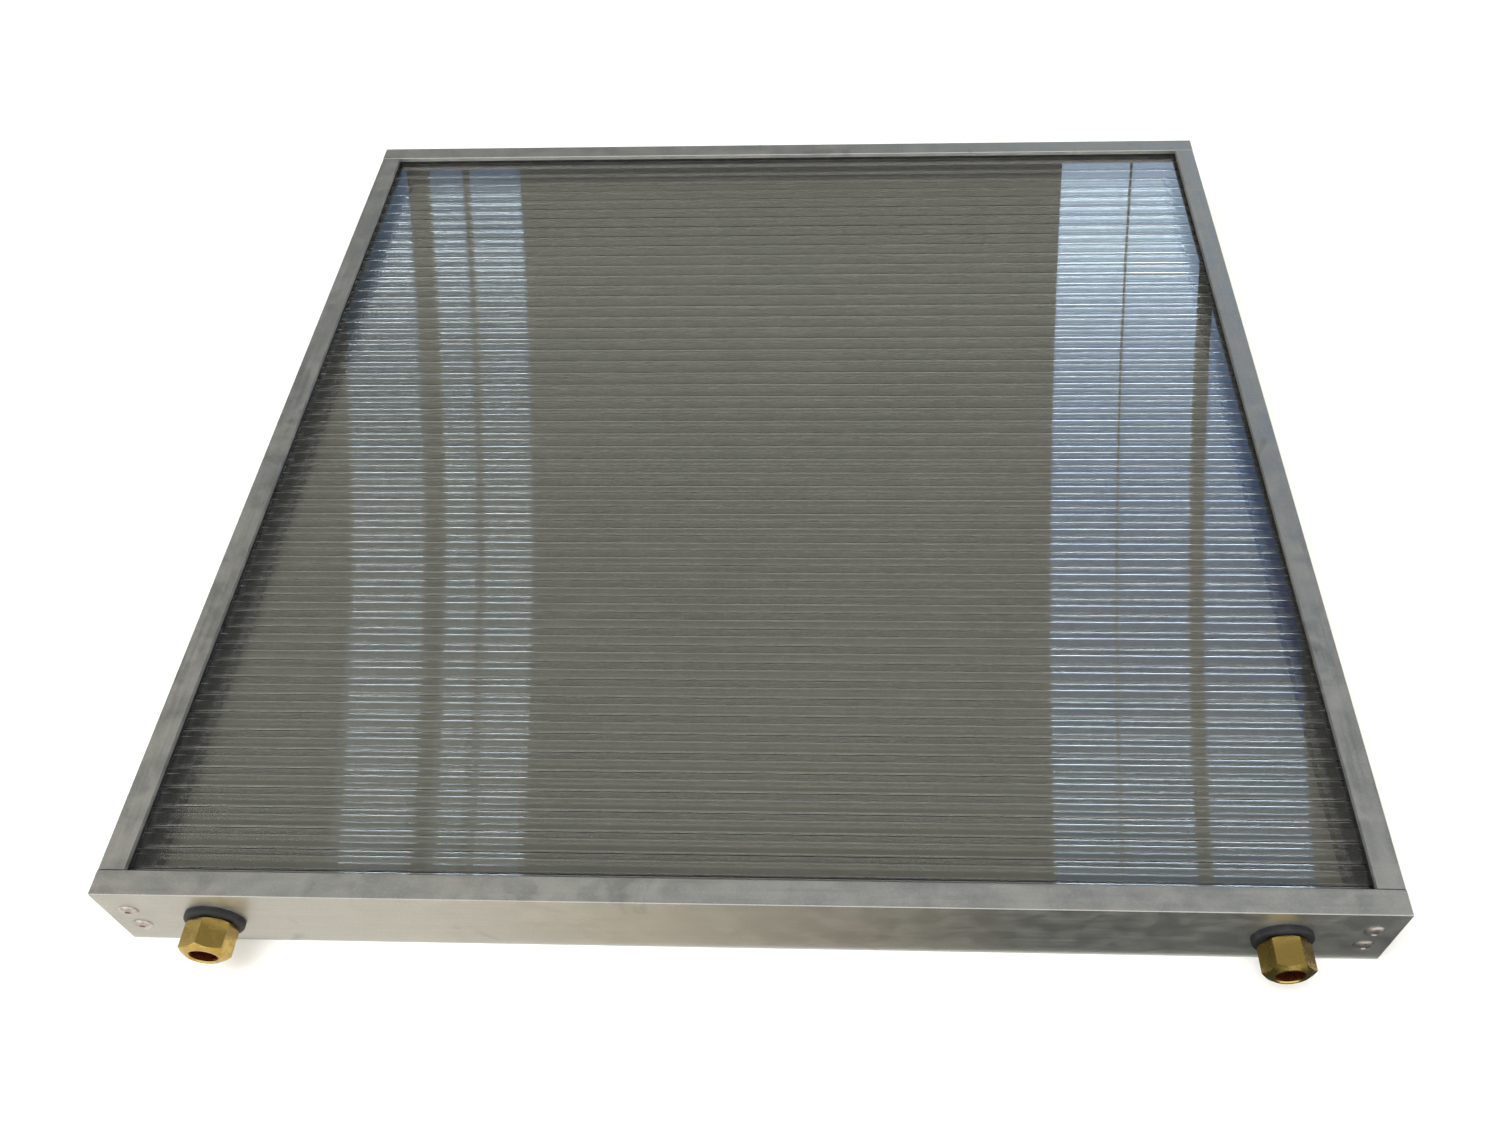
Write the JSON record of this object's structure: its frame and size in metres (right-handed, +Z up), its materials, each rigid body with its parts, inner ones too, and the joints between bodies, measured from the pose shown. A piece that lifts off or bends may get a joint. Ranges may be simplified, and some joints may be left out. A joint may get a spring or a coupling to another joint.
{
  "type": "solar water heater",
  "caption": "Square flat-plate solar water collector: aluminium channel box, ribbed twin-wall glazing over a black absorber, brass compression ports on the front edge.",
  "frame": {"origin": "under the middle of the whole object, at the underside of the bottom flanges", "axes": "+Z up through the glazing, +X along the front edge, +Y from the front edge with the ports to the back"},
  "size_m": [0.613, 0.6308, 0.0508],
  "materials": {
    "frame_aluminium": "satin",
    "rivet_aluminium": "satin",
    "mandrel_steel": "satin",
    "foil_board": "matte",
    "absorber_black": "matte",
    "copper": "satin",
    "olive_copper": "satin",
    "strap_aluminium": "satin",
    "glazing": "gloss",
    "gasket_rubber": "matte",
    "foam_black": "matte",
    "seal_tape": "satin",
    "grommet_rubber": "matte",
    "brass": "satin"
  },
  "bodies": {
    "collector": {"absorber_plate": "absorber_black", "back_sheet": "frame_aluminium", "copper_serpentine": "copper", "corner_bracket_back_left": "frame_aluminium", "corner_bracket_back_right": "frame_aluminium", "corner_bracket_front_left": "frame_aluminium", "corner_bracket_front_right": "frame_aluminium", "edge_insulation_back": "foam_black", "edge_insulation_front": "foam_black", "edge_insulation_left": "foam_black", "edge_insulation_right": "foam_black", "frame_back": "frame_aluminium", "frame_front": "frame_aluminium", "frame_left": "frame_aluminium", "frame_right": "frame_aluminium", "glazing_end_seal_left": "seal_tape", "glazing_end_seal_right": "seal_tape", "glazing_gasket_back": "gasket_rubber", "glazing_gasket_front": "gasket_rubber", "glazing_gasket_left": "gasket_rubber", "glazing_gasket_right": "gasket_rubber", "glazing_sheet": "glazing", "glazing_support_back": "foam_black", "glazing_support_front": "foam_black", "glazing_support_left": "foam_black", "glazing_support_right": "foam_black", "grommet_left": "grommet_rubber", "grommet_right": "grommet_rubber", "heat_strap_1": "strap_aluminium", "heat_strap_2": "strap_aluminium", "heat_strap_3": "strap_aluminium", "heat_strap_4": "strap_aluminium", "heat_strap_5": "strap_aluminium", "heat_strap_6": "strap_aluminium", "insulation_board": "foil_board", "port_body_left": "brass", "port_body_right": "brass", "port_circlip_left": "mandrel_steel", "port_circlip_right": "mandrel_steel", "rivet_mandrels": "mandrel_steel", "rivets_back": "rivet_aluminium", "rivets_front": "rivet_aluminium", "rivets_left": "rivet_aluminium", "rivets_right": "rivet_aluminium"},
    "olive_left": {"olive_left": "olive_copper"},
    "nut_left": {"compression_nut_left": "brass"},
    "olive_right": {"olive_right": "olive_copper"},
    "nut_right": {"compression_nut_right": "brass"}
  },
  "joints": [
    {"name": "nut_left_travel", "type": "slide", "parent": "collector", "child": "olive_left", "axis": [0, -1, 0], "range_m": [0, 0.009]},
    {"name": "nut_left_turn", "type": "hinge", "parent": "olive_left", "child": "nut_left", "pos_m": [-0.2535, -0.30765, 0.0254], "axis": [0, -1, 0], "range_deg": [0, 2160]},
    {"name": "nut_right_travel", "type": "slide", "parent": "collector", "child": "olive_right", "axis": [0, -1, 0], "range_m": [0, 0.009]},
    {"name": "nut_right_turn", "type": "hinge", "parent": "olive_right", "child": "nut_right", "pos_m": [0.2535, -0.30765, 0.0254], "axis": [0, -1, 0], "range_deg": [0, 2160]}
  ],
  "couplings": [
    {"joint": "nut_left_turn", "follows": "nut_left_travel", "rad_per_m": 4188.8},
    {"joint": "nut_right_turn", "follows": "nut_right_travel", "rad_per_m": 4188.8}
  ]
}
